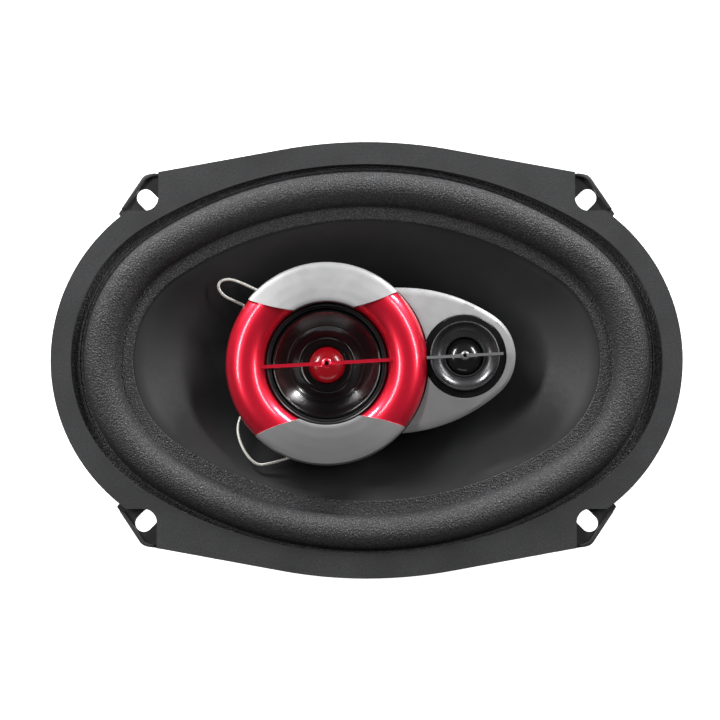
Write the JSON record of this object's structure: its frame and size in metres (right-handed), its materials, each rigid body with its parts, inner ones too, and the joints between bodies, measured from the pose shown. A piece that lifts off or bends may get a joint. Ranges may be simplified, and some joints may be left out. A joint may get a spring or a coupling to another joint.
{
  "type": "coaxial car speaker",
  "caption": "Oval three-way coaxial car speaker with a stamped basket, foam-edged woofer cone and a central pod that carries the midrange and tweeter.",
  "frame": {"origin": "centre of the flat back of the magnet yoke, at the bottom of the speaker as it lies on its magnet", "axes": "+X along the long axis of the oval towards the tweeter, +Y along the short axis, +Z out of the front of the speaker"},
  "size_m": [0.237, 0.164, 0.0946],
  "materials": {
    "painted_steel": "black powder-coated stamped steel, fine grain",
    "gasket_rubber": "matte charcoal die-cut foam rubber",
    "foam": "matte black open-pore foam",
    "spider_cloth": "corrugated resin-stiffened cotton",
    "cone_paper": "black coated cone, soft satin",
    "felt": "black felt",
    "aluminium": "plain aluminium foil",
    "copper_wire": "enamelled copper winding",
    "tin_plate": "tin-plated brass",
    "zinc_plate": "zinc-plated steel, turned",
    "ferrite": "dark grey ground ferrite",
    "black_plastic": "black moulded plastic",
    "screw_steel": "zinc-plated steel",
    "neodymium": "nickel-plated magnet",
    "seal_rubber": "black rubber",
    "gloss_black": "glossy black film",
    "gloss_red": "glossy red lacquer",
    "satin_silver": "satin silver paint on plastic",
    "bezel_black": "satin black plastic",
    "dome_black": "black film dome",
    "bar_grey": "satin grey plastic",
    "capacitor_sleeve": "blue shrink sleeve",
    "fibre_board": "brown phenolic board",
    "tinsel_braid": "woven tinsel braid"
  },
  "bodies": {
    "frame": {"basket": "painted_steel", "rim_gasket": "gasket_rubber", "foam_surround": "foam", "spider": "spider_cloth", "yoke": "zinc_plate", "top_plate": "zinc_plate", "ferrite_magnet": "ferrite", "bridge_post": "black_plastic", "post_bolt": "screw_steel", "post_washer": "screw_steel", "pod_screw": "screw_steel", "pod_body": "satin_silver", "midrange_frame": "black_plastic", "midrange_yoke": "zinc_plate", "midrange_magnet": "neodymium", "midrange_seal": "seal_rubber", "trim_ring": "gloss_red", "cap_upper": "satin_silver", "cap_lower": "satin_silver", "midrange_bar": "gloss_red", "tweeter_bezel": "bezel_black", "tweeter_yoke": "zinc_plate", "tweeter_magnet": "neodymium", "tweeter_bar": "bar_grey", "midrange_capacitor": "capacitor_sleeve", "tweeter_capacitor": "capacitor_sleeve", "terminal_board": "fibre_board", "terminal_positive": "tin_plate", "terminal_negative": "tin_plate", "terminal_rivet_1": "screw_steel", "terminal_rivet_2": "screw_steel", "front_lead_upper": "tinsel_braid", "front_lead_lower": "tinsel_braid", "rear_lead_positive": "tinsel_braid", "rear_lead_negative": "tinsel_braid", "basket_rivet_1": "screw_steel", "basket_rivet_2": "screw_steel", "basket_rivet_3": "screw_steel", "basket_rivet_4": "screw_steel"},
    "woofer": {"woofer_cone": "cone_paper", "voice_coil_former": "aluminium", "voice_coil_winding": "copper_wire", "dust_ring": "felt", "cone_eyelet_1": "tin_plate", "cone_eyelet_2": "tin_plate"},
    "midrange": {"midrange_cone": "gloss_black", "midrange_dome": "gloss_red", "midrange_coil": "copper_wire"},
    "tweeter": {"tweeter_dome": "dome_black", "tweeter_coil": "copper_wire"}
  },
  "joints": [
    {"name": "woofer_travel", "type": "slide", "parent": "frame", "child": "woofer", "axis": [0, 0, 1], "range_m": [-0.004, 0.004], "stiffness_N_per_m": 1500, "deforming": ["foam_surround", "spider", "front_lead_upper", "front_lead_lower", "rear_lead_positive", "rear_lead_negative"]},
    {"name": "midrange_travel", "type": "slide", "parent": "frame", "child": "midrange", "axis": [0, 0, 1], "range_m": [-0.0008, 0.0008], "stiffness_N_per_m": 1200},
    {"name": "tweeter_travel", "type": "slide", "parent": "frame", "child": "tweeter", "axis": [0, 0, 1], "range_m": [-0.0003, 0.0003], "stiffness_N_per_m": 600}
  ]
}
